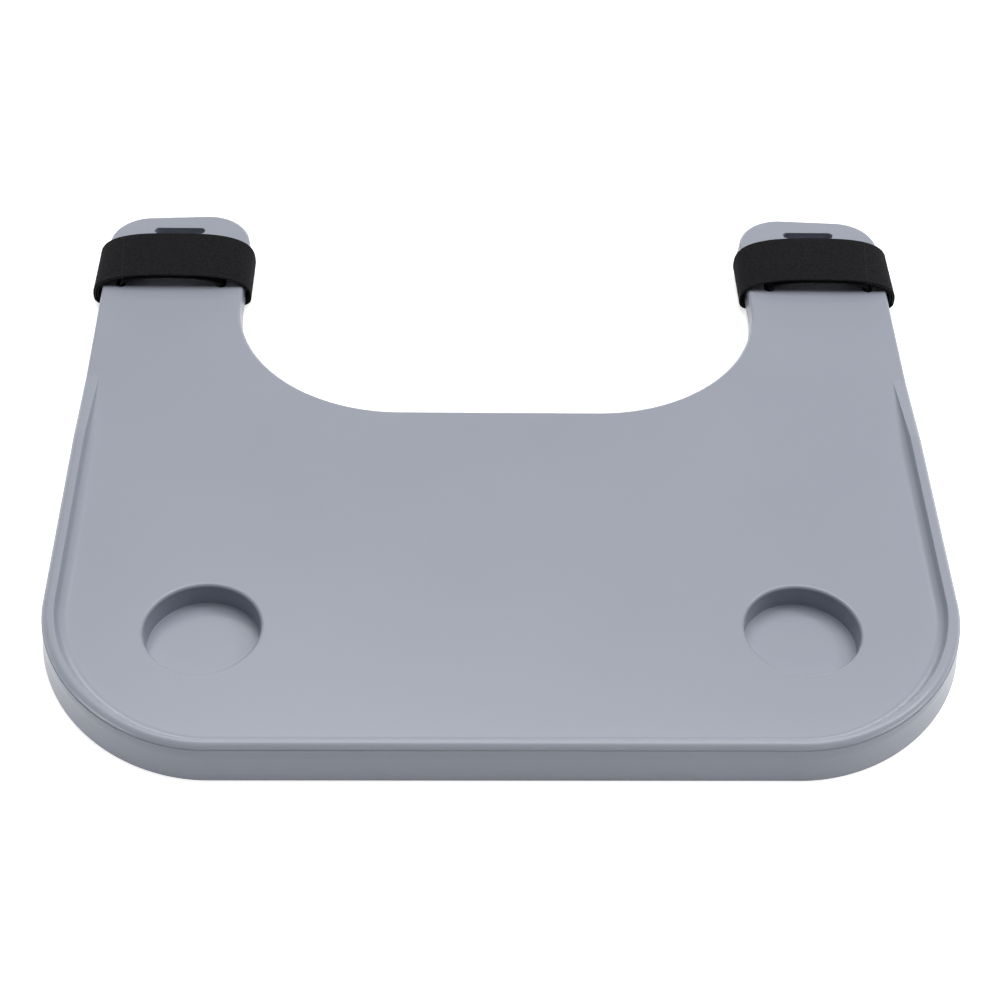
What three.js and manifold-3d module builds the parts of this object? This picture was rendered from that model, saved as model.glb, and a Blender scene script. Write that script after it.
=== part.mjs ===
// Wheelchair tray table: a one-piece moulded tray with a raised rim, two cup wells and two
// arms that lie on the armrests. A hook-and-loop strap is threaded through each arm.
// Millimetres, +Z up, +Y towards the user. The origin is the middle of the box at its base.

import * as THREE from 'three';
import { mergeVertices } from 'three/addons/utils/BufferGeometryUtils.js';
import Module from 'manifold-3d';

const wasm = await Module();
wasm.setup();

// Tray in plan. The body runs from the front wall to the edge of the cut-out, and the arms run on
// from there. The body widens a little towards the user, and the arms flare a little more.
const bodyDepth = 339.5;
const armLength = 256.5;
const armGap = 422;
const armWidth = 118.75;
const armFlare = 4.75;
const armFlareStart = 49;
const bodyFlare = 6.5;
const cutoutRadius = 134;
const frontCornerWidth = 124;
const frontCornerDepth = 134;
const frontCornerFullness = 1.9;
const tipOuterRadius = 34;
const tipInnerRadius = 38;
const tipSlant = 2.7;

// Tray heights and walls
const topHeight = 22;
const armThickness = 14;
const plateThickness = 3.5;
const skirtThickness = 3.2;
const bodyDraft = 2.2;
const armDraft = 1;
const armEdgeRadius = 3;

// Rim section, from the outside in: skirt shoulder, ledge, bead, band and inner wall
const rimHeight = 8;
const shoulderHeight = 2;
const shoulderRadius = 1.2;
const ledgeWidth = 2.4;
const beadRadius = 3;
const frontBandWidth = 5.6;
const sideBandWidth = 7.4;
const bandEdgeRadius = 1;
const innerWallRun = 2.4;
const innerWallFillet = 3;
const rimEndReach = 40;
const rimFadeLength = 76;

// Cup wells
const cupSpacing = 414;
const cupSetback = 113.5;
const cupRadius = 40;
const cupDepth = 18;
const cupLipRadius = 2.5;
const cupFloorRadius = 3;
const cupWall = 3;

// Slots in each arm
const slotWidth = 8;
const slotWall = 3;
const strapSlotClearance = 0.8;
const innerSlotInset = 18.5;
const outerSlotInset = 17.25;
const tipSlotLength = 43;
const tipSlotTipInset = 22.9;
const tipSlotOuterInset = 57.75;

// Stiffening ribs under the tray
const ribThickness = 2.6;
const bodyRibGap = 86;
const crossRibPitch = 57;
const armRibGap = 62;

// Strap: one band, its hook patch, and how it is looped round the arm
const strapWidth = 50.8;
const strapThickness = 1.4;
const strapTipInset = 76.9;
const hookPatchThickness = 0.8;
const hookPatchLength = 40;
const hookPatchMargin = 2;
const layerGap = 0.45;
const strapOuterSlack = 3.2;
const strapInnerSlack = 4.6;
const loopMiddleDrop = 11;
const strapFootClearance = 2;
const bowClearFront = 7.8;
const bowClearRear = 13.1;
const plyClearance = 1.6;
const archFullnessFront = 2.8;
const archFullnessRear = 2.9;
const bowFullness = 2.3;
const bendFullness = 2.8;
const flapRootInset = 43;
const underPlyInset = 19;
const flapDrop = 4;

// Facets
const cornerSteps = 13;
const cutoutSteps = 12;
const tipSteps = 7;
const cupSteps = 32;
const cupFilletSteps = 4;
const slotSteps = 6;
const archSteps = 24;
const flapSteps = 20;
const bendSteps = 10;
const bowSteps = 16;
const filletSteps = 2;
const overrun = 5;

// Derived places
const trayDepth = bodyDepth + armLength;
const frontFoot = -trayDepth / 2;
const frontShoulder = frontFoot + bodyDraft;
const tipEdge = trayDepth / 2 - armDraft;
const armInner = armGap / 2;
const armOuter = armInner + armWidth;
const bodyHalf = armOuter - armFlare;
const frontHalf = bodyHalf - bodyFlare;
const cutoutEdge = frontFoot + bodyDepth;
const flareStart = cutoutEdge + armFlareStart;
const rimEnd = cutoutEdge + rimEndReach;
const cutoutCentreX = armInner - cutoutRadius;
const cutoutCentreY = cutoutEdge + cutoutRadius;
const innerSlotX = armInner + innerSlotInset;
const outerSlotX = armOuter - outerSlotInset;
const strapY = trayDepth / 2 - strapTipInset;
const strapFront = strapY - strapWidth / 2;
const strapRear = strapY + strapWidth / 2;
const armFoot = topHeight - armThickness;
const plateUnderside = topHeight - plateThickness;

const quarterTurn = Math.PI / 2;
const halfShare = 0.5;

const plastic = new THREE.MeshStandardMaterial({ color: 0xa3a8b3, roughness: 0.55, metalness: 0 });
const fleece = new THREE.MeshStandardMaterial({ color: 0x232325, roughness: 0.95, metalness: 0 });
const hooks = new THREE.MeshStandardMaterial({ color: 0x1a1a1c, roughness: 0.8, metalness: 0 });

// A closed mesh as a solid that can be joined and cut
function solidOf(geometry) {
  const bare = new THREE.BufferGeometry();
  bare.setAttribute('position', geometry.getAttribute('position'));
  bare.setIndex(geometry.getIndex());
  const merged = mergeVertices(bare);
  const index = merged.getIndex().array;
  const kept = [];
  for (let i = 0; i < index.length; i += 3) {
    const [a, b, c] = [index[i], index[i + 1], index[i + 2]];
    if (a !== b && b !== c && c !== a) kept.push(a, b, c);
  }
  return new wasm.Manifold(new wasm.Mesh({
    numProp: 3,
    vertProperties: new Float32Array(merged.getAttribute('position').array),
    triVerts: new Uint32Array(kept),
  }));
}

function geometryOf(solid) {
  const mesh = solid.getMesh();
  const geometry = new THREE.BufferGeometry();
  geometry.setAttribute('position', new THREE.BufferAttribute(mesh.vertProperties, 3));
  geometry.setIndex(new THREE.BufferAttribute(mesh.triVerts, 1));
  return geometry;
}

// A flat shape raised from one height to another
function raised(shape, low, high, steps = slotSteps) {
  const geometry = new THREE.ExtrudeGeometry(shape, {
    depth: high - low,
    bevelEnabled: false,
    curveSegments: steps,
  });
  geometry.translate(0, 0, low);
  return solidOf(geometry);
}

function bar(width, length, low, high, x, y) {
  const geometry = new THREE.BoxGeometry(width, length, high - low);
  geometry.translate(x, y, (low + high) / 2);
  return solidOf(geometry);
}

// A slot outline with round ends; its length runs along X
function slotShape(length, width) {
  const radius = width / 2;
  const reach = length / 2 - radius;
  const shape = new THREE.Shape();
  shape.moveTo(-reach, -radius);
  shape.lineTo(reach, -radius);
  shape.absarc(reach, 0, radius, -quarterTurn, quarterTurn, false);
  shape.lineTo(-reach, radius);
  shape.absarc(-reach, 0, radius, quarterTurn, 3 * quarterTurn, false);
  return shape;
}

// Points on a superellipse; a fullness of 2 is an ellipse and a larger one is squarer
function superellipse(width, height, fullness, angle) {
  const c = Math.cos(angle);
  const s = Math.sin(angle);
  const power = 2 / fullness;
  return [Math.sign(c) * width * Math.abs(c) ** power, Math.sign(s) * height * Math.abs(s) ** power];
}

function sweep(count, from, to, point) {
  return Array.from({ length: count + 1 }, (_, i) => point(from + ((to - from) * i) / count));
}

// Half the tray's width at a place along its side: the body widens slightly, the arms more
function sideAt(y) {
  const cornerEnd = frontShoulder + frontCornerDepth;
  const tipStart = tipEdge - tipSlant - tipOuterRadius;
  return y < flareStart
    ? THREE.MathUtils.mapLinear(y, cornerEnd, flareStart, frontHalf, bodyHalf)
    : THREE.MathUtils.mapLinear(y, flareStart, tipStart, bodyHalf, armOuter);
}

// The right half of the tray's outline, counter-clockwise from the middle of the front wall
function halfOutline() {
  const cornerX = frontHalf - frontCornerWidth;
  const cornerY = frontShoulder + frontCornerDepth;
  const corner = sweep(cornerSteps, -quarterTurn, 0, (angle) => {
    const [x, y] = superellipse(frontCornerWidth, frontCornerDepth, frontCornerFullness, angle);
    return [cornerX + x, cornerY + y];
  });
  const tipOuter = sweep(tipSteps, 0, quarterTurn, (angle) => [
    armOuter - tipOuterRadius * (1 - Math.cos(angle)),
    tipEdge - tipSlant - tipOuterRadius * (1 - Math.sin(angle)),
  ]);
  const tipInner = sweep(tipSteps, quarterTurn, 2 * quarterTurn, (angle) => [
    armInner + tipInnerRadius * (1 + Math.cos(angle)),
    tipEdge - tipInnerRadius * (1 - Math.sin(angle)),
  ]);
  const cutout = sweep(cutoutSteps, 0, -quarterTurn, (angle) => [
    cutoutCentreX + cutoutRadius * Math.cos(angle),
    cutoutCentreY + cutoutRadius * Math.sin(angle),
  ]);
  const side = [rimEnd - rimFadeLength, rimEnd, flareStart]
    .sort((a, b) => a - b)
    .map((y) => [sideAt(y), y]);
  return [...corner, ...side, ...tipOuter, ...tipInner, ...cutout];
}

// How much of the rim stands at a point: all of it in front, none on the arms and the cut-out
function rimShareAt(y, inCutout) {
  if (inCutout) return 0;
  return THREE.MathUtils.clamp((rimEnd - y) / rimFadeLength, 0, 1);
}

// The whole outline, each point with its outward normal and its share of the rim
function trayOutline() {
  const half = halfOutline();
  const cutoutStart = half.length - cutoutSteps - 1;
  const right = half.map(([x, y], i) => ({ x, y, inCutout: i >= cutoutStart }));
  const left = right.map(({ x, y, inCutout }) => ({ x: -x, y, inCutout })).reverse();
  const points = [...right, ...left];
  return points.map((point, i) => {
    const before = points.at(i - 1);
    const after = points[(i + 1) % points.length];
    const into = new THREE.Vector2(point.x - before.x, point.y - before.y).normalize();
    const out = new THREE.Vector2(after.x - point.x, after.y - point.y).normalize();
    const along = into.clone().add(out);
    const stretch = 2 / along.lengthSq();
    return {
      ...point,
      normal: new THREE.Vector2(along.y * stretch, -along.x * stretch),
      rimShare: rimShareAt(point.y, point.inCutout),
    };
  });
}

// A ring of the tray's skin: the outline drawn in by an inset, at a height
function ring(outline, insetAndHeight) {
  return outline.map((point) => {
    const [inset, height] = insetAndHeight(point);
    return [point.x - point.normal.x * inset, point.y - point.normal.y * inset, height];
  });
}

// Section points of a fillet that turns from upright to level, as insets and heights
function filletSection(radius, inset, height, steps) {
  return sweep(steps, 0, quarterTurn, (angle) => [
    inset + radius * (1 - Math.cos(angle)),
    height - radius * (1 - Math.sin(angle)),
  ]);
}

// The skin's section where the rim stands full, for a given width of its band
function rimSection(bandWidth) {
  const inner = ledgeWidth + bandWidth;
  const wallFoot = inner + innerWallRun;
  return [
    ...filletSection(shoulderRadius, 0, shoulderHeight, filletSteps),
    [ledgeWidth, shoulderHeight],
    ...filletSection(beadRadius, ledgeWidth, rimHeight, filletSteps),
    [inner - bandEdgeRadius, rimHeight],
    [inner, rimHeight - bandEdgeRadius],
    [wallFoot, innerWallFillet],
    [wallFoot + innerWallFillet * (1 - Math.SQRT1_2), innerWallFillet * (1 - Math.SQRT1_2)],
    [wallFoot + innerWallFillet, 0],
  ];
}

// The same section where there is no rim: a rounded edge, then flat
function edgeSection(like) {
  const rounded = filletSection(armEdgeRadius, 0, 0, like.length - 1);
  const edgeEnd = filletSteps + 2 + filletSteps;
  return like.map(([inset], i) => {
    if (i > edgeEnd) return [Math.max(inset, armEdgeRadius), 0];
    const share = i / edgeEnd;
    const at = share * (rounded.length - 1);
    const low = rounded[Math.floor(at)];
    const high = rounded[Math.ceil(at)];
    const part = at - Math.floor(at);
    return [low[0] + (high[0] - low[0]) * part, low[1] + (high[1] - low[1]) * part];
  });
}

// The tray's skin: top face, rim, skirt, foot and the hollow underside, as one closed surface
function traySkin(outline) {
  const sectionAt = ({ normal, rimShare }) => {
    const sideShare = Math.min(1, Math.abs(normal.x));
    const full = rimSection(THREE.MathUtils.lerp(frontBandWidth, sideBandWidth, sideShare));
    const bare = edgeSection(full);
    return full.map(([inset, height], i) => [
      THREE.MathUtils.lerp(bare[i][0], inset, rimShare),
      topHeight + THREE.MathUtils.lerp(bare[i][1], height, rimShare),
    ]);
  };
  const footAt = ({ rimShare }) => (1 - rimShare) * armFoot;
  const draftAt = ({ rimShare }) => THREE.MathUtils.lerp(armDraft, bodyDraft, rimShare);
  const sections = outline.map(sectionAt);
  const count = sections[0].length;
  const rings = [ring(outline, () => [skirtThickness, plateUnderside])];
  rings.push(ring(outline, (point) => [skirtThickness - draftAt(point), footAt(point)]));
  rings.push(ring(outline, (point) => [-draftAt(point), footAt(point)]));
  for (let k = 0; k < count; k += 1) {
    rings.push(ring(outline, (point) => sections[outline.indexOf(point)][k]));
  }
  const n = outline.length;
  const index = [];
  for (let r = 0; r + 1 < rings.length; r += 1) {
    for (let i = 0; i < n; i += 1) {
      const j = (i + 1) % n;
      index.push(r * n + i, r * n + j, (r + 1) * n + j);
      index.push(r * n + i, (r + 1) * n + j, (r + 1) * n + i);
    }
  }
  const cap = (points) => THREE.ShapeUtils.triangulateShape(
    points.map(([x, y]) => new THREE.Vector2(x, y)),
    [],
  );
  for (const [a, b, c] of cap(rings[0])) index.push(c, b, a);
  const top = (rings.length - 1) * n;
  for (const [a, b, c] of cap(rings.at(-1))) index.push(top + a, top + b, top + c);
  const geometry = new THREE.BufferGeometry();
  geometry.setAttribute('position', new THREE.Float32BufferAttribute(rings.flat(2), 3));
  geometry.setIndex(index);
  return solidOf(geometry);
}

// A cup well's hollow, with a rounded lip and floor corner
function cupHollow(x, y) {
  const floor = topHeight - cupDepth;
  const section = [
    [0, floor],
    ...sweep(cupFilletSteps, -quarterTurn, 0, (angle) => [
      cupRadius - cupFloorRadius * (1 - Math.cos(angle)),
      floor + cupFloorRadius * (1 + Math.sin(angle)),
    ]),
    ...sweep(cupFilletSteps, 2 * quarterTurn, quarterTurn, (angle) => [
      cupRadius + cupLipRadius * (1 + Math.cos(angle)),
      topHeight - cupLipRadius * (1 - Math.sin(angle)),
    ]),
    [cupRadius + cupLipRadius, topHeight + overrun],
    [0, topHeight + overrun],
  ];
  const geometry = new THREE.LatheGeometry(section.map(([r, z]) => new THREE.Vector2(r, z)), cupSteps);
  geometry.rotateX(quarterTurn);
  geometry.translate(x, y, 0);
  return solidOf(geometry);
}

function cupBody(x, y) {
  const shape = new THREE.Shape();
  shape.absarc(0, 0, cupRadius + cupWall, 0, 4 * quarterTurn, false);
  const body = raised(shape, topHeight - cupDepth - cupWall, topHeight - plateThickness / 2, cupSteps);
  return body.translate([x, y, 0]);
}

// The slots of one arm: two that the strap is threaded through and one near the tip
function armSlots(side) {
  const strapSlotLength = strapWidth + 2 * strapSlotClearance;
  return [
    { length: strapSlotLength, turn: true, x: side * innerSlotX, y: strapY },
    { length: strapSlotLength, turn: true, x: side * outerSlotX, y: strapY },
    {
      length: tipSlotLength,
      turn: false,
      x: side * (armOuter - tipSlotOuterInset),
      y: tipEdge - tipSlotTipInset,
    },
  ];
}

function slotSolid({ length, turn, x, y }, grow, low, high) {
  const solid = raised(slotShape(length + 2 * grow, slotWidth + 2 * grow), low, high);
  return solid.rotate([0, 0, turn ? 90 : 0]).translate([x, y, 0]);
}

// Ribs under the plate, level with the arms' feet and kept inside the skirt. No rib crosses the
// channel between an arm's two long ribs, which takes the pad of an armrest.
function ribs(outline) {
  const low = armFoot;
  const high = topHeight - plateThickness / 2;
  const reach = 2 * (trayDepth + armOuter);
  const longRibs = [];
  const crossRibs = [];
  const channels = [];
  for (const x of [-halfShare, halfShare]) {
    longRibs.push(bar(ribThickness, reach, low, high, x * bodyRibGap, 0));
    longRibs.push(bar(ribThickness, reach, low, high, 3 * x * bodyRibGap, 0));
  }
  for (const side of [-1, 1]) {
    const middle = side * (innerSlotX + outerSlotX) / 2;
    for (const share of [-halfShare, halfShare]) {
      longRibs.push(bar(ribThickness, reach, low, high, middle + share * armRibGap, 0));
    }
    channels.push(bar(armRibGap - ribThickness, reach, low, high, middle, 0));
  }
  for (let setback = crossRibPitch; setback < bodyDepth; setback += crossRibPitch) {
    crossRibs.push(bar(reach, ribThickness, low, high, 0, frontFoot + setback));
  }
  const inside = ring(outline, () => [skirtThickness / 2, 0]);
  const shape = new THREE.Shape(inside.map(([x, y]) => new THREE.Vector2(x, y)));
  return wasm.Manifold.union(crossRibs)
    .subtract(wasm.Manifold.union(channels))
    .add(wasm.Manifold.union(longRibs))
    .intersect(raised(shape, low, high));
}

function trayShell() {
  const outline = trayOutline();
  const cups = [-1, 1].map((side) => [side * cupSpacing / 2, frontFoot + cupSetback]);
  const slots = [...armSlots(-1), ...armSlots(1)];
  const plateMiddle = topHeight - plateThickness / 2;
  const added = [
    ribs(outline),
    ...cups.map(([x, y]) => cupBody(x, y)),
    ...slots.map((slot) => slotSolid(slot, slotWall, armFoot, plateMiddle)),
  ];
  const removed = [
    ...cups.map(([x, y]) => cupHollow(x, y)),
    ...slots.map((slot) => slotSolid(slot, 0, -overrun, topHeight + overrun)),
  ];
  return traySkin(outline)
    .add(wasm.Manifold.union(added))
    .subtract(wasm.Manifold.union(removed));
}

// The strap's section on its front or rear edge, as [x, z] lines down the middle of each ply.
// The line starts at the arch, turns down the arm's inner side, comes up through the inner
// slot, bows over the arm, goes down the outer slot and up the arm's outer side.
function strapLines(bowClear, archFullness) {
  const halfThickness = strapThickness / 2;
  const stack = 2 * strapThickness + hookPatchThickness + 2 * layerGap;
  const inner = armInner - strapInnerSlack - strapThickness;
  const outer = sideAt(strapY) + strapOuterSlack + stack;
  const centre = (inner + outer) / 2;
  const halfWidth = (outer - inner) / 2 - halfThickness;
  const middle = topHeight - loopMiddleDrop;
  const crown = bowClear + plyClearance + 2 * strapThickness + loopMiddleDrop - halfThickness;
  const lowest = strapFootClearance + halfThickness;
  const hang = middle - lowest;
  const archPoint = (angle) => {
    const [x, z] = superellipse(halfWidth, crown, archFullness, angle);
    return [centre + x, middle + z];
  };
  const angleAt = (reach) => Math.acos((reach / halfWidth) ** (archFullness / 2));
  const rootAngle = angleAt(halfWidth - flapRootInset);
  const endAngle = angleAt(halfWidth - underPlyInset);
  const bend = (fromX, toX, from, to) => sweep(bendSteps, from, to, (angle) => {
    const [x, z] = superellipse((toX - fromX) / 2, hang, bendFullness, angle);
    return [(fromX + toX) / 2 + x, middle + z];
  });
  const bowCentre = (innerSlotX + outerSlotX) / 2;
  const bowReach = (outerSlotX - innerSlotX) / 2;
  const bow = sweep(bowSteps, 2 * quarterTurn, 0, (angle) => {
    const [x, z] = superellipse(bowReach, bowClear + halfThickness, bowFullness, angle);
    return [bowCentre + x, topHeight + z];
  });
  const flap = [
    ...sweep(archSteps, rootAngle, 0, archPoint),
    [centre + halfWidth, middle - flapDrop],
  ];
  const underPly = offsetLine(sweep(archSteps, 0, endAngle, archPoint), stack - strapThickness);
  const underX = underPly[0][0];
  return {
    band: [
      ...sweep(archSteps, rootAngle, 2 * quarterTurn, archPoint),
      ...bend(centre - halfWidth, innerSlotX, 2 * quarterTurn, 4 * quarterTurn).slice(1),
      ...bow,
      ...bend(outerSlotX, underX, 2 * quarterTurn, 4 * quarterTurn),
      ...underPly.slice(1),
    ],
    flap,
  };
}

// A line moved sideways, to its left as it runs
function offsetLine(line, distance) {
  return line.map(([x, z], i) => {
    const [x0, z0] = line[Math.max(0, i - 1)];
    const [x1, z1] = line[Math.min(line.length - 1, i + 1)];
    const length = Math.hypot(x1 - x0, z1 - z0);
    return [x - ((z1 - z0) / length) * distance, z + ((x1 - x0) / length) * distance];
  });
}

function lineLength(line) {
  return line.slice(1).reduce(
    (sum, [x, z], i) => sum + Math.hypot(x - line[i][0], z - line[i][1]),
    0,
  );
}

// Even points on the part of a line between two distances from its start
function partOfLine(line, from, to, steps) {
  const along = [0];
  for (let i = 1; i < line.length; i += 1) {
    along.push(along[i - 1] + Math.hypot(line[i][0] - line[i - 1][0], line[i][1] - line[i - 1][1]));
  }
  return sweep(steps, from, to, (distance) => {
    const i = along.findIndex((value, k) => k > 0 && (value >= distance || k === line.length - 1));
    const share = (distance - along[i - 1]) / (along[i] - along[i - 1]);
    return line[i].map((value, k) => THREE.MathUtils.lerp(line[i - 1][k], value, share));
  });
}

// A flat band that follows one line on its front edge and another on its rear edge
function bandGeometry(frontLine, rearLine, thickness, side) {
  const faces = [frontLine, rearLine].map((line) => [
    offsetLine(line, thickness / 2),
    offsetLine(line, -thickness / 2),
  ]);
  const positions = [];
  frontLine.forEach((_, i) => {
    const corner = (edge, face, y) => {
      const [x, z] = faces[edge][face][i];
      positions.push(side * x, y, z);
    };
    corner(0, 0, strapFront);
    corner(1, 0, strapRear);
    corner(1, 1, strapRear);
    corner(0, 1, strapFront);
  });
  const index = [];
  const quad = (a, b, c, d) => index.push(...(side < 0 ? [a, b, c, a, c, d] : [c, b, a, d, c, a]));
  for (let i = 0; i + 1 < frontLine.length; i += 1) {
    for (let k = 0; k < 4; k += 1) {
      const next = (k + 1) % 4;
      quad(4 * i + k, 4 * i + next, 4 * i + 4 + next, 4 * i + 4 + k);
    }
  }
  const last = 4 * (frontLine.length - 1);
  quad(3, 2, 1, 0);
  quad(last, last + 1, last + 2, last + 3);
  const geometry = new THREE.BufferGeometry();
  geometry.setAttribute('position', new THREE.Float32BufferAttribute(positions, 3));
  geometry.setIndex(index);
  return geometry;
}

function strapPieces(side) {
  const front = strapLines(bowClearFront, archFullnessFront);
  const rear = strapLines(bowClearRear, archFullnessRear);
  const patchDepth = (strapThickness + hookPatchThickness) / 2 + layerGap;
  const flapOf = (line) => partOfLine(line, layerGap, lineLength(line), flapSteps);
  const patchOf = (line) => {
    const end = lineLength(line) - hookPatchMargin;
    return offsetLine(partOfLine(line, end - hookPatchLength, end, flapSteps), -patchDepth);
  };
  return {
    band: bandGeometry(front.band, rear.band, strapThickness, side),
    flap: bandGeometry(flapOf(front.flap), flapOf(rear.flap), strapThickness, side),
    patch: bandGeometry(patchOf(front.flap), patchOf(rear.flap), hookPatchThickness, side),
  };
}

const part = new THREE.Group();

function addPiece(name, geometry, material) {
  const mesh = new THREE.Mesh(geometry, material);
  mesh.name = name;
  part.add(mesh);
}

addPiece('tray_shell', geometryOf(trayShell()), plastic);
for (const [label, side] of [['left', -1], ['right', 1]]) {
  const { band, flap, patch } = strapPieces(side);
  addPiece(`${label}_strap_band`, band, fleece);
  addPiece(`${label}_strap_flap`, flap, fleece);
  addPiece(`${label}_hook_patch`, patch, hooks);
}

export default part;
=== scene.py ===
import math

import bmesh
import bpy
from mathutils import Matrix, Vector


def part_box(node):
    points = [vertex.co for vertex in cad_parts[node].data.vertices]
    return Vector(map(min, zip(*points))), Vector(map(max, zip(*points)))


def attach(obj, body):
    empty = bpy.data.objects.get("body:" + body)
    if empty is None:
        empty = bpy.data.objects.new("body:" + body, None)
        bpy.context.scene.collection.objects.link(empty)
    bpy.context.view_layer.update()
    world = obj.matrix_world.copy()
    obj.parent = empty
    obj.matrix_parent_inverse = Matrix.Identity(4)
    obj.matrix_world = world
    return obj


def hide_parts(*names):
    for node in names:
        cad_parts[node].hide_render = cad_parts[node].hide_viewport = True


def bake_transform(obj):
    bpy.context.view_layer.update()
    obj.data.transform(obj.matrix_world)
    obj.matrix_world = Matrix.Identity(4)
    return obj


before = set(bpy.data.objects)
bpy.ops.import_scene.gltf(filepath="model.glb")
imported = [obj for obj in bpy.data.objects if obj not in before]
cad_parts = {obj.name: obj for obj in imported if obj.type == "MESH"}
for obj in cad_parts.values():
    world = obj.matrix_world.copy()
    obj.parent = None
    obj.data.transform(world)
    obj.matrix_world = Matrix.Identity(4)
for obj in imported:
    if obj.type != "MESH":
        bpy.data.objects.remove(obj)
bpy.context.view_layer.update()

# The camera stands in front of the tray and looks down on it, turned and tilted a little, with
# the angle of view that the cup wells and the rim give when both wells are round and level.
camera_place = Vector((-0.0343, -1.0351, 0.9726))
camera_pitch = math.radians(44.182)
camera_turn = math.radians(-1.974)
camera_roll = math.radians(1.637)
picture_side = 1000
focal_pixels = 1849.3
sensor_width = 36

lens = bpy.data.cameras.new("camera")
lens.sensor_width = sensor_width
lens.lens = focal_pixels * sensor_width / picture_side
camera = bpy.data.objects.new("camera", lens)
bpy.context.scene.collection.objects.link(camera)
camera.matrix_world = (
    Matrix.Translation(camera_place)
    @ Matrix.Rotation(camera_turn, 4, "Z")
    @ Matrix.Rotation(math.pi / 2 - camera_pitch, 4, "X")
    @ Matrix.Rotation(camera_roll, 4, "Z")
)
bpy.context.scene.camera = camera

# The tray is one hollow moulding in blue-grey plastic: a flat top with a raised rim that fades
# out along the sides, a skirt, and two arms with a rounded edge. It is drawn up from its
# outline ring by ring, as the mould's section runs round it.
body_depth = 0.3395
arm_gap = 0.422
arm_flare = 0.00475
arm_flare_start = 0.049
body_flare = 0.0065
cutout_radius = 0.134
front_corner_width = 0.124
front_corner_depth = 0.134
front_corner_fullness = 1.9
tip_outer_radius = 0.034
tip_inner_radius = 0.038
tip_slant = 0.0027

arm_thickness = 0.014
plate_thickness = 0.0035
skirt_thickness = 0.0032
body_draft = 0.0022
arm_draft = 0.001
arm_edge_radius = 0.003
foot_edge_radius = 0.0004

rim_height = 0.008
shoulder_height = 0.0038
shoulder_drop = 0.009
front_lean = 0.0019
side_lean = 0.0005
groove_width = 0.0005
front_groove_depth = 0.0002
side_groove_depth = 0.0001
front_bead_width = 0.0050
side_bead_width = 0.0044
corner_sharpness = 2
bead_fullness = 2.0
front_band_width = 0.0055
side_band_width = 0.0078
band_edge_radius = 0.0008
inner_wall_angle = math.radians(66)
inner_wall_fillet = 0.0076
rim_end_reach = 0.040
rim_end_inset = 0.0108
rim_end_flatness_share = 0.1
rim_fade_length = 0.076
groove_shares = ((0.25, 0.1), (0.5, 0.5), (0.75, 1))

front_corner_steps = 56
side_steps = 12
rim_fade_steps = 30
tip_steps = 20
arm_inner_steps = 8
cutout_steps = 56
shoulder_steps = 6
bead_steps = 12
band_edge_steps = 4
hollow_steps = 8

tray_low, tray_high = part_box("tray_shell")
top_height = tray_high.z - rim_height
front_shoulder = tray_low.y + body_draft
tip_edge = tray_high.y - arm_draft
arm_outer = tray_high.x - arm_draft
arm_inner = arm_gap / 2
body_half = arm_outer - arm_flare
front_half = body_half - body_flare
cutout_edge = tray_low.y + body_depth
flare_start = cutout_edge + arm_flare_start
corner_end = front_shoulder + front_corner_depth
tip_start = tip_edge - tip_slant - tip_outer_radius
rim_end = cutout_edge + rim_end_reach
rim_fade_start = rim_end - rim_fade_length
arm_foot = top_height - arm_thickness
plate_underside = top_height - plate_thickness
quarter_turn = math.pi / 2
half_turn = math.pi
full_turn = 2 * math.pi


def spread(start, end, steps):
    return [start + (end - start) * step / steps for step in range(steps + 1)]


def mix(start, end, share):
    return start + (end - start) * share


def superellipse(width, height, fullness, angle):
    """A point on a rounded outline: a fullness of 2 is an ellipse, and more is squarer."""
    across, up = math.cos(angle), math.sin(angle)
    return (
        math.copysign(width * abs(across) ** (2 / fullness), across),
        math.copysign(height * abs(up) ** (2 / fullness), up),
    )


def rounding(radius, steps):
    """A quarter round as pairs: how far it lies in from the side, and back from the end."""
    return [
        (radius * (1 - math.cos(angle)), radius * (1 - math.sin(angle)))
        for angle in spread(0, quarter_turn, steps)
    ]


def side_at(y):
    """Half the tray's width: the body widens a little towards the user, and the arms more."""
    if y < flare_start:
        return mix(front_half, body_half, (y - corner_end) / (flare_start - corner_end))
    return mix(body_half, arm_outer, (y - flare_start) / (tip_start - flare_start))


def half_outline():
    """The right half of the tray's outline, from the middle of the front to the cut-out's."""
    cutout_x = arm_inner - cutout_radius
    cutout_y = cutout_edge + cutout_radius
    points = []
    for angle in spread(-quarter_turn, 0, front_corner_steps):
        x, y = superellipse(
            front_corner_width, front_corner_depth, front_corner_fullness, angle
        )
        points.append((front_half - front_corner_width + x, corner_end + y))
    stops = spread(corner_end, rim_fade_start, side_steps)[1:]
    stops += spread(rim_fade_start, rim_end, rim_fade_steps)[1:]
    stops += spread(flare_start, tip_start, side_steps)[:-1]
    points += [(side_at(y), y) for y in stops]
    for inward, back in rounding(tip_outer_radius, tip_steps):
        points.append((arm_outer - inward, tip_edge - tip_slant - back))
    for inward, back in reversed(rounding(tip_inner_radius, tip_steps)):
        points.append((arm_inner + inward, tip_edge - back))
    inner_side = spread(tip_edge - tip_inner_radius, cutout_y, arm_inner_steps)[1:-1]
    points += [(arm_inner, y) for y in inner_side]
    for angle in spread(0, -quarter_turn, cutout_steps):
        points.append((
            cutout_x + cutout_radius * math.cos(angle),
            cutout_y + cutout_radius * math.sin(angle),
        ))
    return points


def rim_share(y, inner_side):
    """How much of the rim stands: all of it in front, none on the arms and the cut-out."""
    return 0 if inner_side else min(1, max(0, (rim_end - y) / rim_fade_length))


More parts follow.
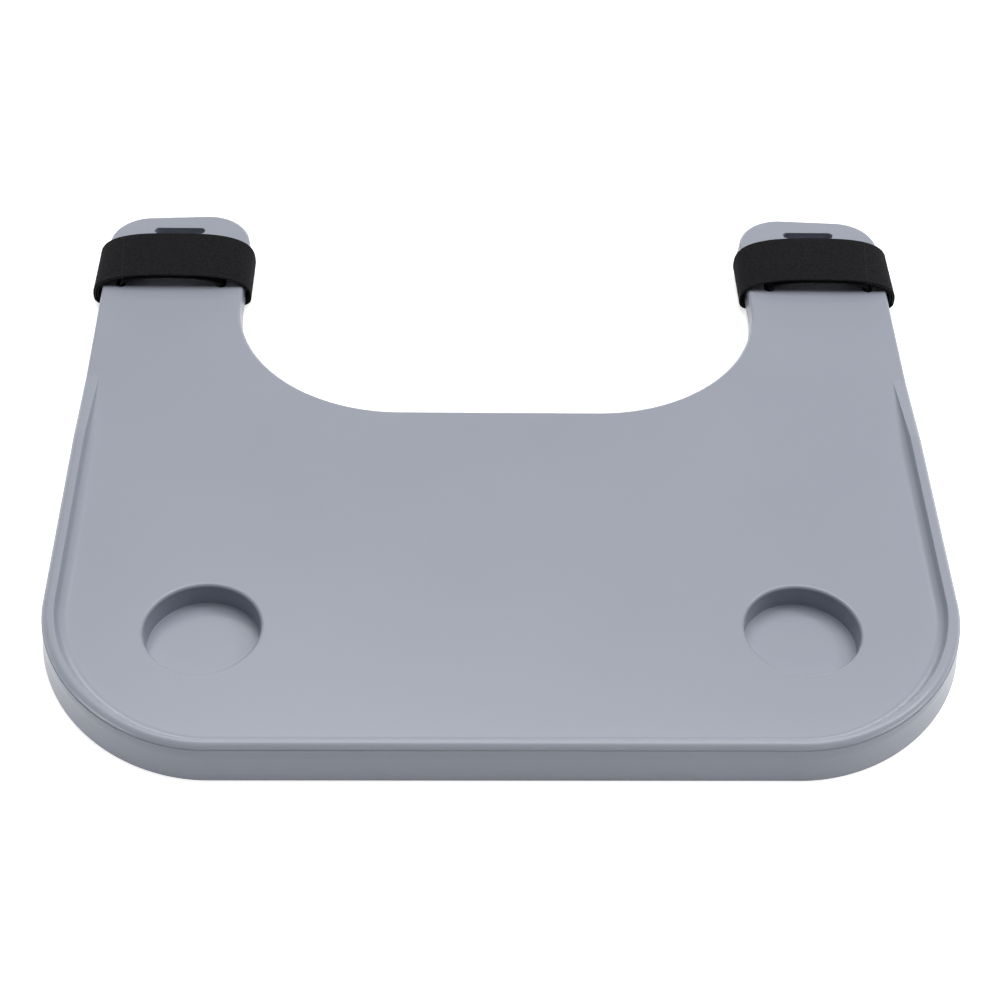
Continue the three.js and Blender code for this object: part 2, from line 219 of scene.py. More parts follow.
def with_normals(points):
    """Each point of a closed line with its outward normal, stretched at a corner."""
    points = [Vector(point) for point in points]
    stations = []
    for place, point in enumerate(points):
        before, after = points[place - 1], points[(place + 1) % len(points)]
        along = (point - before).normalized() + (after - point).normalized()
        along *= 2 / along.length_squared
        stations.append((point, Vector((along.y, -along.x))))
    return stations


def named(name):
    """Names the shape that was just added, and its mesh."""
    piece = bpy.context.object
    piece.name = piece.data.name = name
    return piece


def facing_out():
    """Turns the faces of the active piece, which is closed, outwards."""
    bpy.ops.object.mode_set(mode="EDIT")
    bpy.ops.mesh.select_all(action="SELECT")
    bpy.ops.mesh.normals_make_consistent(inside=False)
    bpy.ops.object.mode_set(mode="OBJECT")


def drawn_up(name, stations, rings):
    """A closed solid: the line's face, extruded once for each ring, drawn in and raised."""
    bpy.ops.object.select_all(action="DESELECT")
    bpy.ops.mesh.primitive_circle_add(vertices=len(stations), fill_type="NGON")
    solid = named(name)
    solid.data.attributes.new("station", "INT", "POINT")
    for vertex, value in enumerate(solid.data.attributes["station"].data):
        value.value = vertex
    bpy.ops.object.mode_set(mode="EDIT")
    for number, ring in enumerate(rings):
        if number:
            bpy.ops.mesh.extrude_region_move()
        drawing = bmesh.from_edit_mesh(solid.data)
        station_of = drawing.verts.layers.int["station"]
        for vertex in drawing.verts:
            if vertex.select:
                place = vertex[station_of]
                point, normal = stations[place]
                inset, height = ring(place)
                vertex.co = (point - normal * inset).to_3d() + Vector((0, 0, height))
        bmesh.update_edit_mesh(solid.data)
    facing_out()
    solid.data.attributes.remove(solid.data.attributes["station"])
    return solid


def rim_section(lean, groove_depth, bead_width, band_width):
    """The rim from the outside in: the skirt's lean, groove, bead, band and hollow inner wall."""
    bead_start = lean + groove_width
    groove_floor = shoulder_height - groove_depth
    shoulder = [
        (lean * share ** 2, shoulder_height - shoulder_drop * (1 - share))
        for share in spread(0, 1, shoulder_steps)
    ]
    groove = [
        (lean + groove_width * width_share, shoulder_height - groove_depth * depth_share)
        for width_share, depth_share in groove_shares
    ]
    bead = [
        (bead_start + bead_width + x, groove_floor + z)
        for x, z in (
            superellipse(bead_width, rim_height - groove_floor, bead_fullness, angle)
            for angle in spread(half_turn, quarter_turn, bead_steps)
        )
    ]
    edge = [
        (bead_start + band_width + band_edge_radius * math.sin(angle),
         rim_height - band_edge_radius * (1 - math.cos(angle)))
        for angle in spread(0, inner_wall_angle, band_edge_steps)
    ]
    rounded = (band_edge_radius + inner_wall_fillet) * (1 - math.cos(inner_wall_angle))
    wall_run = (rim_height - rounded) / math.tan(inner_wall_angle)
    hollow_middle = edge[-1][0] + wall_run + inner_wall_fillet * math.sin(inner_wall_angle)
    hollow = [
        (hollow_middle - inner_wall_fillet * math.sin(angle),
         inner_wall_fillet * (1 - math.cos(angle)))
        for angle in spread(inner_wall_angle, 0, hollow_steps)
    ]
    return shoulder + groove + bead + edge + hollow


front_section = rim_section(front_lean, front_groove_depth, front_bead_width, front_band_width)
side_section = rim_section(side_lean, side_groove_depth, side_bead_width, side_band_width)
rounding_end = len(side_section) - (hollow_steps + 1) - (band_edge_steps + 1) - 1
band_end = side_section[rounding_end + 1][0]
arm_section = [(inset, -drop) for inset, drop in rounding(arm_edge_radius, rounding_end)]
arm_section += [
    (rim_end_inset + (inset - band_end) * rim_end_flatness_share, 0)
    for inset, _ in side_section[rounding_end + 1:]
]

right_half = half_outline()
outline = right_half + [(-x, y) for x, y in reversed(right_half)]
inner_start = next(
    place for place, (x, y) in enumerate(right_half) if y > 0 and x <= arm_inner
)
stations = with_normals(outline)
shares = []
for place in range(len(outline)):
    mirrored = min(place, len(outline) - 1 - place)
    shares.append(rim_share(outline[place][1], mirrored >= inner_start))


def foot_ring(inset, raised):
    return lambda place: (
        inset - mix(arm_draft, body_draft, shares[place]),
        (1 - shares[place]) * arm_foot + raised,
    )


def rim_ring(number):
    def ring(place):
        facing_side = min(1, abs(stations[place][1].x)) ** corner_sharpness
        full_inset, full_height = (
            mix(front, side, facing_side)
            for front, side in zip(front_section[number], side_section[number])
        )
        bare_inset, bare_height = arm_section[number]
        return (
            mix(bare_inset, full_inset, shares[place]),
            top_height + mix(bare_height, full_height, shares[place]),
        )
    return ring


tray = drawn_up("tray_moulding", stations, [
    lambda place: (skirt_thickness, plate_underside),
    foot_ring(skirt_thickness, foot_edge_radius),
    foot_ring(skirt_thickness - foot_edge_radius, 0),
    foot_ring(foot_edge_radius, 0),
    foot_ring(0, foot_edge_radius),
    *[rim_ring(number) for number in range(len(front_section))],
])

# The two cup wells are drawn down from the top in the same moulding, with a rounded lip, and
# each shows underneath as a round cup. Three slots with rounded lips go through each arm, two
# for the strap and one near the tip, and a wall runs round each under the plate.
cup_spacing = 0.414
cup_setback = 0.1135
cup_radius = 0.040
cup_depth = 0.018
cup_lean = 0.0004
cup_lip_radius = 0.0026
cup_floor_radius = 0.0006
cup_wall = 0.003
cup_foot_radius = 0.0012
circle_steps = 96
cup_foot_steps = 4
cup_floor_steps = 5
cup_lip_steps = 10

slot_width = 0.008
slot_wall = 0.003
slot_lip_radius = 0.0007
strap_width = 0.0508
strap_slot_clearance = 0.0008
inner_slot_inset = 0.0185
outer_slot_inset = 0.01725
strap_tip_inset = 0.0769
tip_slot_length = 0.043
tip_slot_tip_inset = 0.0229
tip_slot_outer_inset = 0.05775
slot_end_steps = 16
slot_lip_steps = 5
cut_overrun = 0.005

inner_slot_x = arm_inner + inner_slot_inset
outer_slot_x = arm_outer - outer_slot_inset
strap_y = tray_high.y - strap_tip_inset
plate_middle = top_height - plate_thickness / 2


def apply_modifier(piece, kind, **values):
    modifier = piece.modifiers.new(kind.lower(), kind)
    for name, value in values.items():
        setattr(modifier, name, value)
    bpy.context.view_layer.objects.active = piece
    bpy.ops.object.modifier_apply(modifier=modifier.name)


def combine(solid, other, operation):
    """Joins another solid to a solid, or cuts or keeps what they share."""
    apply_modifier(solid, "BOOLEAN", operation=operation, solver="EXACT", object=other)
    bpy.data.objects.remove(other)


def circle(x, y, radius):
    return with_normals([
        (x + radius * math.cos(angle), y + radius * math.sin(angle))
        for angle in spread(0, full_turn, circle_steps)[:-1]
    ])


def stadium(x, y, length, width, across):
    """A slot's outline; its length runs across the arm or along it."""
    radius = width / 2
    reach = length / 2 - radius
    points = [
        (side * (reach + radius * math.cos(angle)), side * radius * math.sin(angle))
        for side in (1, -1)
        for angle in spread(-quarter_turn, quarter_turn, slot_end_steps)
    ]
    if across:
        return with_normals([(x + along, y + out) for along, out in points])
    return with_normals([(x - out, y + along) for along, out in points])


def level(inset, height):
    return lambda place: (inset, height)


cup_floor = top_height - cup_depth
cup_foot = cup_floor - cup_wall
cup_y = tray_low.y + cup_setback
for side in (-1, 1):
    cup_x = side * cup_spacing / 2
    combine(tray, drawn_up("cup_body", circle(cup_x, cup_y, cup_radius + cup_wall), [
        *[level(inset, cup_foot + rise)
          for rise, inset in rounding(cup_foot_radius, cup_foot_steps)],
        level(0, plate_middle),
    ]), "UNION")
    combine(tray, drawn_up("cup_hollow", circle(cup_x, cup_y, cup_radius), [
        *[level(cup_lean + inset, cup_floor + rise)
          for rise, inset in rounding(cup_floor_radius, cup_floor_steps)],
        *[level(-flare, top_height - drop)
          for flare, drop in rounding(cup_lip_radius, cup_lip_steps)],
        level(-cup_lip_radius, top_height + cut_overrun),
    ]), "DIFFERENCE")

strap_slot_length = strap_width + 2 * strap_slot_clearance
slot_lips = rounding(slot_lip_radius, slot_lip_steps)
slot_plans = [
    (inner_slot_x, strap_y, strap_slot_length, False),
    (outer_slot_x, strap_y, strap_slot_length, False),
    (arm_outer - tip_slot_outer_inset, tip_edge - tip_slot_tip_inset, tip_slot_length, True),
]
for side in (-1, 1):
    for x, y, length, across in slot_plans:
        wall = stadium(side * x, y, length + 2 * slot_wall, slot_width + 2 * slot_wall, across)
        combine(tray, drawn_up("slot_wall", wall, [
            level(foot_edge_radius, arm_foot),
            level(0, arm_foot + foot_edge_radius),
            level(0, plate_middle),
        ]), "UNION")
        slot = stadium(side * x, y, length, slot_width, across)
        combine(tray, drawn_up("slot_hollow", slot, [
            level(-slot_lip_radius, arm_foot - cut_overrun),
            *[level(-flare, arm_foot + rise) for flare, rise in reversed(slot_lips)],
            *[level(-flare, top_height - drop) for flare, drop in slot_lips],
            level(-slot_lip_radius, top_height + cut_overrun),
        ]), "DIFFERENCE")

# Thin ribs stiffen the tray's hollow underside and end just short of the arms' feet. None
# crosses the channel between an arm's two long ribs, where the pad of an armrest lies.
rib_thickness = 0.0026
rib_setback = 0.0005
body_ribs = 4
body_rib_gap = 0.086
cross_rib_pitch = 0.057
arm_rib_gap = 0.062
tray_smoothing = math.radians(32)

arm_middle = (inner_slot_x + outer_slot_x) / 2
rib_foot = arm_foot + rib_setback
tray_length = tray_high.y - tray_low.y
rib_plans = []
for number in range(body_ribs):
    x = (number - (body_ribs - 1) / 2) * body_rib_gap
    rib_plans.append((x, 0, rib_thickness, tray_length))
for side in (-1, 1):
    for edge in (-arm_rib_gap / 2, arm_rib_gap / 2):
        rib_plans.append((side * arm_middle + edge, 0, rib_thickness, tray_length))
between_channels = arm_middle - arm_rib_gap / 2
beside_channel = arm_middle + arm_rib_gap / 2
rib_y = tray_low.y + cross_rib_pitch
while rib_y < cutout_edge:
    rib_plans.append((0, rib_y, 2 * between_channels, rib_thickness))
    for side in (-1, 1):
        width = arm_outer - beside_channel
        rib_plans.append((side * (beside_channel + width / 2), rib_y, width, rib_thickness))
    rib_y += cross_rib_pitch


def bar(name, middle, size):
    """A straight bar, with its middle and its size in its mesh."""
    bpy.ops.object.select_all(action="DESELECT")
    bpy.ops.mesh.primitive_cube_add(size=1, location=middle, scale=size)
    bpy.ops.object.transform_apply(location=True, rotation=False, scale=True)
    return named(name)


def choose(piece):
    """Leaves one piece selected, and active."""
    bpy.ops.object.select_all(action="DESELECT")
    piece.select_set(True)
    bpy.context.view_layer.objects.active = piece


ribs = None
for x, y, width, length in rib_plans:
    rib = bar(
        "rib",
        (x, y, (rib_foot + plate_middle) / 2),
        (width, length, plate_middle - rib_foot),
    )
    if ribs is None:
        ribs = rib
    else:
        combine(ribs, rib, "UNION")
combine(ribs, drawn_up("inside_of_skirt", stations, [
    level(skirt_thickness / 2, arm_foot - cut_overrun),
    level(skirt_thickness / 2, top_height + cut_overrun),
]), "INTERSECT")
for side in (-1, 1):
    cup = circle(side * cup_spacing / 2, cup_y, cup_radius + cup_wall / 2)
    combine(ribs, drawn_up("inside_of_cup", cup, [
        level(0, arm_foot - cut_overrun), level(0, top_height),
    ]), "DIFFERENCE")
    for x, y, length, across in slot_plans:
        hole = stadium(side * x, y, length + slot_wall, slot_width + slot_wall, across)
        combine(ribs, drawn_up("inside_of_slot", hole, [
            level(0, arm_foot - cut_overrun), level(0, top_height),
        ]), "DIFFERENCE")
combine(tray, ribs, "UNION")
tray.data.name = tray.name

choose(tray)
bpy.ops.object.shade_smooth_by_angle(angle=tray_smoothing)
apply_modifier(tray, "WEIGHTED_NORMAL", keep_sharp=True)

# The plastic is dyed through, blue-grey and satin: its mould was blasted, which leaves a grain
# of about half a millimetre, and the melt leaves a faint unevenness in colour and gloss.
plastic_dark = (0.300, 0.323, 0.385, 1)
plastic_light = (0.318, 0.341, 0.404, 1)
plastic_specular = 0.45
plastic_least_roughness = 0.26
plastic_most_roughness = 0.31
melt_scale = 9
grain_scale = 1700
grain_strength = 0.12
grain_height = 0.0001


def set_values(node, **values):
    """Sets each value on the node's socket of that name, or else on the node."""
    for name, value in values.items():
        socket = node.inputs.get(name.replace("_", " "))
        if socket is None:
            setattr(node, name, value)
        else:
            socket.default_value = value


def node_of(material, kind, **values):
    node = material.node_tree.nodes.new(kind)
    set_values(node, **values)
    return node


def shader_of(material):
    return material.node_tree.nodes["Principled BSDF"]


def new_material(name, **values):
    material = bpy.data.materials.new(name)
    material.use_nodes = True
    set_values(shader_of(material), **values)
    return material


def link(output, socket):
    socket.id_data.links.new(output, socket)


def noise_of(material, **values):
    """Noise on the piece's own coordinates; its scale is in features per metre."""
    noise = node_of(material, "ShaderNodeTexNoise", **values)
    link(node_of(material, "ShaderNodeTexCoord").outputs["Object"], noise.inputs["Vector"])
    return noise.outputs["Fac"]


def coloured_by(material, noise, dark, light, dark_end=0, light_start=1):
    """Colours a material from dark to light as its noise rises."""
    ramp = node_of(material, "ShaderNodeValToRGB")
    first, last = ramp.color_ramp.elements
    first.position, first.color = dark_end, dark
    last.position, last.color = light_start, light
    link(noise, ramp.inputs["Fac"])
    link(ramp.outputs["Color"], shader_of(material).inputs["Base Color"])


def raised_by(material, height, **values):
    """Raises a material's surface by a height from 0 to 1, times the distance given."""
    bump = node_of(material, "ShaderNodeBump", **values)
    link(height, bump.inputs["Height"])
    link(bump.outputs["Normal"], shader_of(material).inputs["Normal"])


def cover(piece, material):
    piece.data.materials.clear()
    piece.data.materials.append(material)


tray_plastic = new_material("tray_plastic", Specular_IOR_Level=plastic_specular)
melt = noise_of(tray_plastic, Scale=melt_scale, Detail=3)
grain = noise_of(tray_plastic, Scale=grain_scale, Detail=2)
gloss = node_of(
    tray_plastic, "ShaderNodeMapRange",
    To_Min=plastic_least_roughness, To_Max=plastic_most_roughness,
)
link(melt, gloss.inputs["Value"])
link(gloss.outputs["Result"], shader_of(tray_plastic).inputs["Roughness"])
coloured_by(tray_plastic, melt, plastic_dark, plastic_light)
raised_by(tray_plastic, grain, Strength=grain_strength, Distance=grain_height)
cover(tray, tray_plastic)

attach(tray, "tray")
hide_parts("tray_shell")

# Each strap is one length of 2 inch black loop fleece, cut from the roll. It lies over its arm
# in a loop, turns up through the inner slot, bows over the arm, goes down the outer slot and
# up again outside the arm, and there its free end is pressed on over it and tucked under.
strap_thickness = 0.0014
strap_edge_radius = 0.0004
strap_edge_segments = 3
strap_edge_angle = math.radians(50)
strap_smoothing = math.radians(60)
hook_patch_thickness = 0.0008
layer_gap = 0.00045
loop_middle_drop = 0.011
bow_clear_front = 0.0078
bow_clear_rear = 0.0131
ply_clearance = 0.0016
arch_fullness_front = 2.8
arch_fullness_rear = 2.9
bow_fullness = 2.3
bend_fullness = 2.8
under_ply_inset = 0.019
strap_pitch = 0.0016
strap_columns = 24
bend_steps = 48
bow_steps = 96
under_ply_steps = 48
arch_steps = 192

fleece_dark = (0.0055, 0.0055, 0.0064, 1)
fleece_light = (0.0165, 0.0165, 0.0182, 1)
fleece_dark_end = 0.35
fleece_light_start = 0.68
fleece_roughness = 0.95
fleece_specular = 0.08
fleece_sheen = 0.03
fleece_sheen_roughness = 0.6
fleece_sheen_tint = (0.6, 0.62, 0.65, 1)
tuft_scale = 520
pile_scale = 1500
pile_strength = 0.8
pile_height = 0.0003

band_low, band_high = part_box("right_strap_band")
flap_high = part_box("right_strap_flap")[1]
half_thickness = strap_thickness / 2
strap_stack = 2 * strap_thickness + hook_patch_thickness + 2 * layer_gap
loop_middle = top_height - loop_middle_drop


def moved_aside(line, distance):
    """A line of x and z places moved to its left as it runs."""
    moved = []
    for place, (x, z) in enumerate(line):
        before, after = line[max(0, place - 1)], line[min(len(line) - 1, place + 1)]
        run = Vector(after) - Vector(before)
        run.normalize()
        moved.append((x - run.y * distance, z + run.x * distance))
    return moved


def evenly(line, steps):
    """Places at even steps along a line."""
    along = [0]
    for before, after in zip(line, line[1:]):
        along.append(along[-1] + math.dist(before, after))
    places = []
    leg = 1
    for distance in spread(0, along[-1], steps):
        while along[leg] < distance and leg < len(line) - 1:
            leg += 1
        share = (distance - along[leg - 1]) / (along[leg] - along[leg - 1])
        places.append(tuple(mix(a, b, share) for a, b in zip(line[leg - 1], line[leg])))
    return places


def line_length(line):
    return sum(math.dist(before, after) for before, after in zip(line, line[1:]))


def strap_lines(bow_clear, arch_fullness):
    """One edge of the strap: the free end round to the bow's crown, and on to its other end."""
    inner = band_low.x + half_thickness
    outer = flap_high.x - half_thickness
    centre = (inner + outer) / 2
    half_width = (outer - inner) / 2
    crown = bow_clear + ply_clearance + 2 * strap_thickness + loop_middle_drop - half_thickness
    hang = loop_middle - band_low.z - half_thickness
    tuck = strap_stack - strap_thickness

    def arch_point(angle):
        x, z = superellipse(half_width, crown, arch_fullness, angle)
        return centre + x, loop_middle + z

    def bend(from_x, to_x, drop):
        places = [
            superellipse((to_x - from_x) / 2, drop, bend_fullness, angle)
            for angle in spread(half_turn, full_turn, bend_steps)
        ]
        return [((from_x + to_x) / 2 + x, loop_middle + z) for x, z in places]

    bow = [
        superellipse((outer_slot_x - inner_slot_x) / 2, bow_clear + half_thickness,
                     bow_fullness, angle)
        for angle in spread(half_turn, 0, bow_steps)
    ]
    bow = [(arm_middle + x, top_height + z) for x, z in bow]
    end_angle = math.acos(((half_width - under_ply_inset) / half_width) ** (arch_fullness / 2))
    under_ply = moved_aside(
        [arch_point(angle) for angle in spread(0, end_angle, under_ply_steps)], tuck
    )
    arch = [arch_point(angle) for angle in spread(0, half_turn, arch_steps)]
    crown_place = len(bow) // 2
    tab = bend(outer_slot_x - tuck, outer, hang)
    tab = tab[len(tab) // 2:]
    first = tab + arch[1:] + bend(inner, inner_slot_x, hang)[1:] + bow[:crown_place + 1]
    outer_bend = bend(outer_slot_x, under_ply[0][0], hang - tuck)
    last = bow[crown_place:] + outer_bend + under_ply[1:]
    return first, last


def woven(name, side, front_line, rear_line):
    """A flat band laid along one line at its front edge and another at its rear edge."""
    steps = round(line_length(front_line) / strap_pitch)
    front, rear = evenly(front_line, steps), evenly(rear_line, steps)
    bpy.ops.object.select_all(action="DESELECT")
    bpy.ops.mesh.primitive_grid_add(
        x_subdivisions=steps, y_subdivisions=strap_columns, size=1, calc_uvs=True
    )
    band = named(name)
    for vertex in band.data.vertices:
        step = round((vertex.co.x + 0.5) * steps)
        across = vertex.co.y + 0.5
        x, z = (mix(a, b, across) for a, b in zip(front[step], rear[step]))
        vertex.co = (side * x, mix(band_low.y, band_high.y, across), z)
    apply_modifier(band, "SOLIDIFY", thickness=strap_thickness, offset=0)
    apply_modifier(
        band, "BEVEL",
        width=strap_edge_radius, segments=strap_edge_segments, angle_limit=strap_edge_angle,
    )
    facing_out()
    bpy.ops.object.shade_smooth_by_angle(angle=strap_smoothing)
    return band


def math_of(material, operation, first, second):
    """One value worked out from two others."""
    node = node_of(material, "ShaderNodeMath", operation=operation)
    for output, socket in zip((first, second), node.inputs):
        link(output, socket)
    return node.outputs["Value"]


strap_fleece = new_material(
    "strap_fleece",
    Roughness=fleece_roughness,
    Specular_IOR_Level=fleece_specular,
    Sheen_Weight=fleece_sheen,
    Sheen_Roughness=fleece_sheen_roughness,
    Sheen_Tint=fleece_sheen_tint,
)
tufts = noise_of(strap_fleece, Scale=tuft_scale, Detail=4, Roughness=0.75)
pile = noise_of(strap_fleece, Scale=pile_scale, Detail=3, Roughness=0.7)
coloured_by(
    strap_fleece, tufts, fleece_dark, fleece_light, fleece_dark_end, fleece_light_start
)
raised_by(
    strap_fleece, math_of(strap_fleece, "ADD", tufts, pile),
    Strength=pile_strength, Distance=pile_height,
)

front_lines = strap_lines(bow_clear_front, arch_fullness_front)
rear_lines = strap_lines(bow_clear_rear, arch_fullness_rear)
for label, side in (("left", -1), ("right", 1)):
    loop, strap_tail = (
        woven(f"{label}_strap_{part}", side, front, rear)
        for part, front, rear in zip(("loop", "tail"), front_lines, rear_lines)
    )
    for piece in (loop, strap_tail):
        cover(piece, strap_fleece)
    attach(strap_tail, "tray")
    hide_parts(f"{label}_strap_band")
    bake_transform(loop)
    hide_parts(f"{label}_strap_flap")

# The hook tape is stiff black nylon with rows of small moulded hooks and a plain border. It is
# sewn round its border to the inside of the strap's free end with black thread, and its hooks
# catch in the fleece of the ply below.
hook_patch_length = 0.040
tape_thickness = 0.0004
tape_border = 0.0028
tape_step = 0.001
hook_pitch_along = 0.0016
hook_pitch_across = 0.0013
hook_thickness = 0.00028
hook_stem_height = 0.00032
hook_bend_steps = 3
hook_bend = math.radians(48)
hook_bend_rise = 0.00022
stitch_length = 0.0027
stitch_pitch = 0.0034
stitch_inset = 0.0014
thread_thickness = 0.00034
patch_smoothing = math.radians(40)

nylon_dark = (0.008, 0.008, 0.0085, 1)
nylon_light = (0.017, 0.017, 0.018, 1)
nylon_roughness = 0.55
nylon_specular = 0.35
nylon_scale = 900
thread_dark = (0.010, 0.010, 0.011, 1)
thread_light = (0.030, 0.030, 0.032, 1)
thread_roughness = 0.6
thread_specular = 0.3
thread_scale = 4000

patch_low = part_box("right_hook_patch")[0]


def walk(line):
    """The place and the inward direction at each distance along a line."""
    length = line_length(line)
    steps = round(length / tape_step)
    places = evenly(line, steps)
    inward = [Vector(b) - Vector(a) for a, b in zip(places, moved_aside(places, 1))]

    def at(distance):
        step = min(steps - 1, int(distance / length * steps))
        share = distance / length * steps - step
        place = Vector(places[step]).lerp(Vector(places[step + 1]), share)
        return place, inward[step].lerp(inward[step + 1], share)
    return at


def laid_on_strap(piece, side, walks, starts):
    """Bends a flat piece round the strap: x along it, y across it, z out from its middle."""
    for vertex in piece.data.vertices:
        along, across, out = vertex.co
        rear_share = across / strap_width
        x = z = 0
        for weight, at, start in zip((1 - rear_share, rear_share), walks, starts):
            place, inward = at(start + along)
            x += weight * (place.x + inward.x * out)
            z += weight * (place.y + inward.y * out)
        vertex.co = (side * x, band_low.y + across, z)
    choose(piece)
    facing_out()
    bpy.ops.object.shade_smooth_by_angle(angle=patch_smoothing)


def repeated(piece, places):
    """The piece's mesh becomes one copy of itself at each place, turned flat by its angle."""
    copies = bmesh.new()
    for x, y, z, angle in places:
        first = len(copies.verts)
        copies.from_mesh(piece.data)
        copies.verts.ensure_lookup_table()
        turn = Matrix.Translation((x, y, z)) @ Matrix.Rotation(angle, 4, "Z")
        bmesh.ops.transform(copies, matrix=turn, verts=copies.verts[first:])
    copies.to_mesh(piece.data)
    copies.free()


def hooks(name):
    """Rows of hooks that stand on the tape, each bent over in steps towards the strap's end."""
    hook = bar(name, (0, 0, 0), (hook_thickness, hook_thickness, hook_stem_height))
    bpy.ops.object.mode_set(mode="EDIT")
    bpy.ops.mesh.select_mode(type="FACE")
    drawing = bmesh.from_edit_mesh(hook.data)
    top = max(drawing.faces, key=lambda face: face.calc_center_median().z)
    for face in drawing.faces:
        face.select = face == top
    bmesh.update_edit_mesh(hook.data)
    for step in range(hook_bend_steps):
        lean = hook_bend * (step + 0.5)
        bpy.ops.mesh.extrude_region_move(TRANSFORM_OT_translate={
            "value": (hook_bend_rise * math.sin(lean), 0, hook_bend_rise * math.cos(lean)),
        })
        drawing = bmesh.from_edit_mesh(hook.data)
        end = [vertex for vertex in drawing.verts if vertex.select]
        middle = sum((vertex.co for vertex in end), Vector()) / len(end)
        turn = Matrix.Rotation(hook_bend, 3, "Y")
        for vertex in end:
            vertex.co = middle + turn @ (vertex.co - middle)
        bmesh.update_edit_mesh(hook.data)
    bpy.ops.object.mode_set(mode="OBJECT")
    rows = int((hook_patch_length - 2 * tape_border) / hook_pitch_along)
    columns = int((strap_width - 2 * tape_border) / hook_pitch_across)
    first_x = (hook_patch_length - rows * hook_pitch_along) / 2
    first_y = (strap_width - columns * hook_pitch_across) / 2
    base = half_thickness + tape_thickness + hook_stem_height / 2
    repeated(hook, [
        (first_x + row * hook_pitch_along, first_y + column * hook_pitch_across, base, 0)
        for row in range(rows + 1) for column in range(columns + 1)
    ])
    return hook


def tape(name):
    bpy.ops.object.select_all(action="DESELECT")
    bpy.ops.mesh.primitive_grid_add(
        x_subdivisions=round(hook_patch_length / tape_step), y_subdivisions=strap_columns, size=1
    )
    sheet = named(name)
    sheet.location = (hook_patch_length / 2, strap_width / 2, half_thickness + tape_thickness / 2)
    sheet.scale = (hook_patch_length, strap_width, 1)
    bpy.ops.object.transform_apply(location=True, rotation=False, scale=True)
    apply_modifier(sheet, "SOLIDIFY", thickness=tape_thickness, offset=0)
    return sheet


def stitching(name):
    """One seam round the tape's border, which shows on the strap's outside and on the tape."""
    stitch = bar(name, (0, 0, 0), (stitch_length, thread_thickness, thread_thickness))
    apply_modifier(stitch, "SUBSURF", levels=1, render_levels=1)
    seams = []
    for height in (-half_thickness, half_thickness + tape_thickness):
        for length, width, angle in (
            (hook_patch_length, strap_width, 0),
            (strap_width, hook_patch_length, quarter_turn),
        ):
            count = int((length - 2 * stitch_inset) / stitch_pitch)
            first = (length - (count - 1) * stitch_pitch) / 2
            for number in range(count):
                along = first + number * stitch_pitch
                for across in (stitch_inset, width - stitch_inset):
                    x, y = (across, along) if angle else (along, across)
                    seams.append((x, y, height, angle))
    repeated(stitch, seams)
    return stitch


hook_nylon = new_material(
    "hook_tape", Roughness=nylon_roughness, Specular_IOR_Level=nylon_specular
)
coloured_by(
    hook_nylon, noise_of(hook_nylon, Scale=nylon_scale, Detail=2), nylon_dark, nylon_light
)
black_thread = new_material(
    "black_thread", Roughness=thread_roughness, Specular_IOR_Level=thread_specular
)
coloured_by(
    black_thread, noise_of(black_thread, Scale=thread_scale, Detail=1), thread_dark, thread_light
)

loop_edges = [lines[0] for lines in (front_lines, rear_lines)]
loop_walks = [walk(line) for line in loop_edges]
patch_starts = [
    line_length([place for place in line[:len(line) // 2] if place[1] <= patch_low.z])
    for line in loop_edges
]
for label, side in (("left", -1), ("right", 1)):
    backing = tape(f"{label}_hook_tape")
    hooked = hooks("hooks")
    choose(backing)
    hooked.select_set(True)
    bpy.ops.object.join()
    seam = stitching(f"{label}_patch_stitching")
    for piece, material in ((backing, hook_nylon), (seam, black_thread)):
        laid_on_strap(piece, side, loop_walks, patch_starts)
        cover(piece, material)
        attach(piece, f"{label}_flap")
    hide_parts(f"{label}_hook_patch")

# The tray lies on a plain white sheet of paper. It is lifted to white where it is seen directly,
# but not in a square under each strap's loop, where the photographed sheet lies in shade.
floor_size = 12
white = (1, 1, 1, 1)
floor_white = (0.76, 0.76, 0.76, 1)
floor_roughness = 0.9
floor_specular = 0.1
floor_lift = 0.7
unlit_setback = 0.016
unlit_half_width = 0.052
unlit_softness = 0.008

bpy.ops.object.select_all(action="DESELECT")
bpy.ops.mesh.primitive_plane_add(size=floor_size)
floor = named("floor")


def seen_directly(material):
    """Light Path's rays from the camera, in a reflection or through glass, as 0 or 1."""
    rays = node_of(material, "ShaderNodeLightPath")
    seen = rays.outputs["Is Camera Ray"]
    for kind in ("Is Glossy Ray", "Is Transmission Ray"):
        seen = math_of(material, "MAXIMUM", seen, rays.outputs[kind])
    return seen


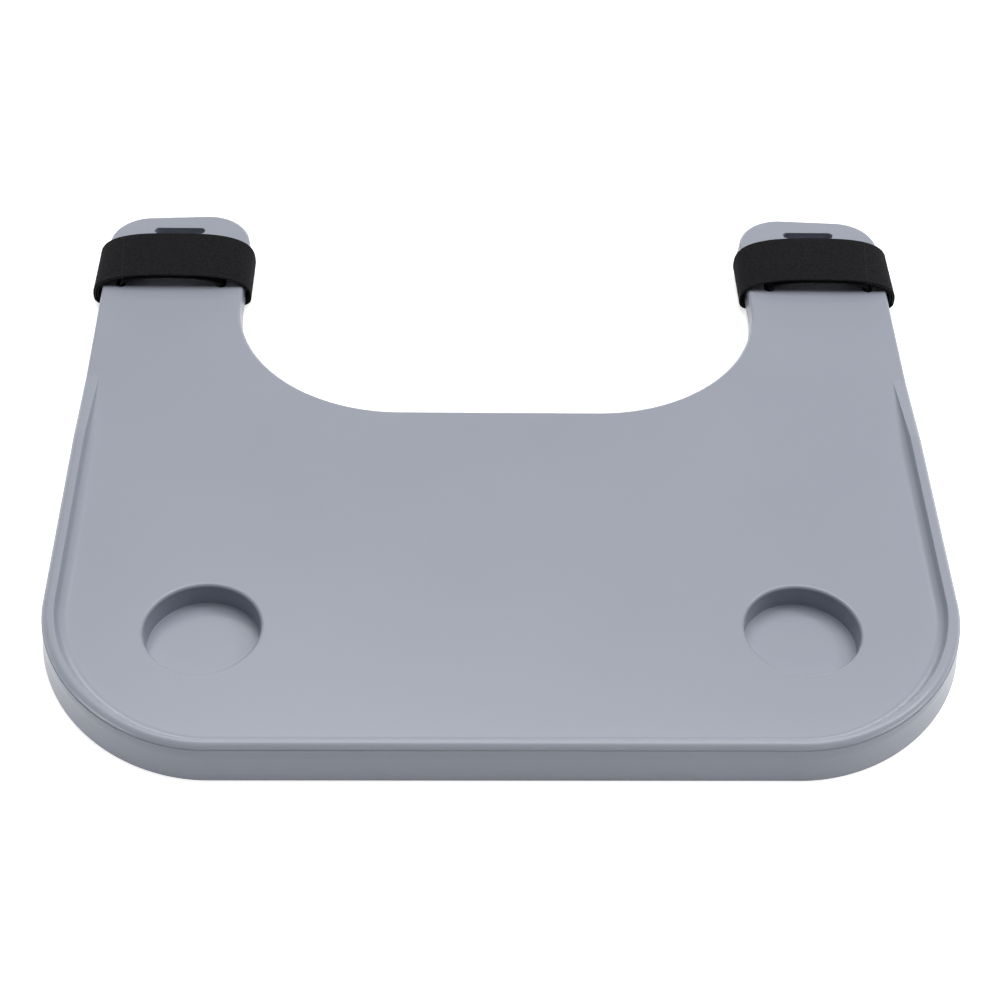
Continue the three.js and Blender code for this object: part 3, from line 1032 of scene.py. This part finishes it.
paper = new_material(
    "floor_paper",
    Base_Color=floor_white,
    Roughness=floor_roughness,
    Specular_IOR_Level=floor_specular,
    Emission_Color=white,
)
places = node_of(paper, "ShaderNodeTexCoord").outputs["Object"]
for middle in ((0, strap_y + unlit_setback, 0), (arm_middle, 0, 0)):
    moved = node_of(paper, "ShaderNodeVectorMath", operation="SUBTRACT")
    moved.inputs[1].default_value = middle
    distance = node_of(paper, "ShaderNodeVectorMath", operation="ABSOLUTE")
    link(places, moved.inputs[0])
    link(moved.outputs["Vector"], distance.inputs[0])
    places = distance.outputs["Vector"]
axes = node_of(paper, "ShaderNodeSeparateXYZ")
link(places, axes.inputs["Vector"])
lift = node_of(
    paper, "ShaderNodeMapRange", interpolation_type="SMOOTHSTEP",
    From_Min=unlit_half_width - unlit_softness, From_Max=unlit_half_width, To_Max=floor_lift,
)
link(math_of(paper, "MAXIMUM", axes.outputs["X"], axes.outputs["Y"]), lift.inputs["Value"])
link(
    math_of(paper, "MULTIPLY", seen_directly(paper), lift.outputs["Result"]),
    shader_of(paper).inputs["Emission Strength"],
)
cover(floor, paper)

# A broad soft lamp hangs nearly overhead and a little behind the tray, with weak lamps high on
# the right and low behind. Strip lamps near the floor light the skirt, and are lower than the
# rim, so that they don't shine over it. The room is white where it is seen, and lights little.
room_light = 0.06
# Each lamp's name, place, width, height and power in watts.
lamp_plans = (
    ("overhead_lamp", (0.5, 1.4, 5.2), 5.2, 4.0, 296),
    ("back_lamp", (0, 5, 1), 4, 0.6, 40),
    ("right_lamp", (2.2, 0.5, 2.5), 0.5, 0.5, 15),
    ("low_front_lamp", (0.2, -2.2, 0.015), 1.6, 0.026, 3),
    ("low_right_lamp", (1.9, -0.9, 0.015), 1.0, 0.026, 8),
    ("low_left_lamp", (-1.9, -0.9, 0.015), 1.0, 0.026, 8.5),
)

for name, place, width, height, power in lamp_plans:
    lamp = bpy.data.lights.new(name, "AREA")
    lamp.shape = "ELLIPSE" if width == height else "RECTANGLE"
    lamp.size = width
    lamp.size_y = height
    lamp.energy = power
    holder = bpy.data.objects.new(name, lamp)
    bpy.context.scene.collection.objects.link(holder)
    holder.location = place
    holder.rotation_euler = (-Vector(place)).to_track_quat("-Z", "Y").to_euler()
    holder.visible_camera = False

room = bpy.data.worlds.new("room")
room.use_nodes = True
bpy.context.scene.world = room
sky = room.node_tree.nodes["Background"]
set_values(sky, Color=white)
strength = node_of(room, "ShaderNodeMapRange", To_Min=room_light, To_Max=1)
link(seen_directly(room), strength.inputs["Value"])
link(strength.outputs["Result"], sky.inputs["Strength"])

bpy.context.scene.view_settings.view_transform = "Standard"
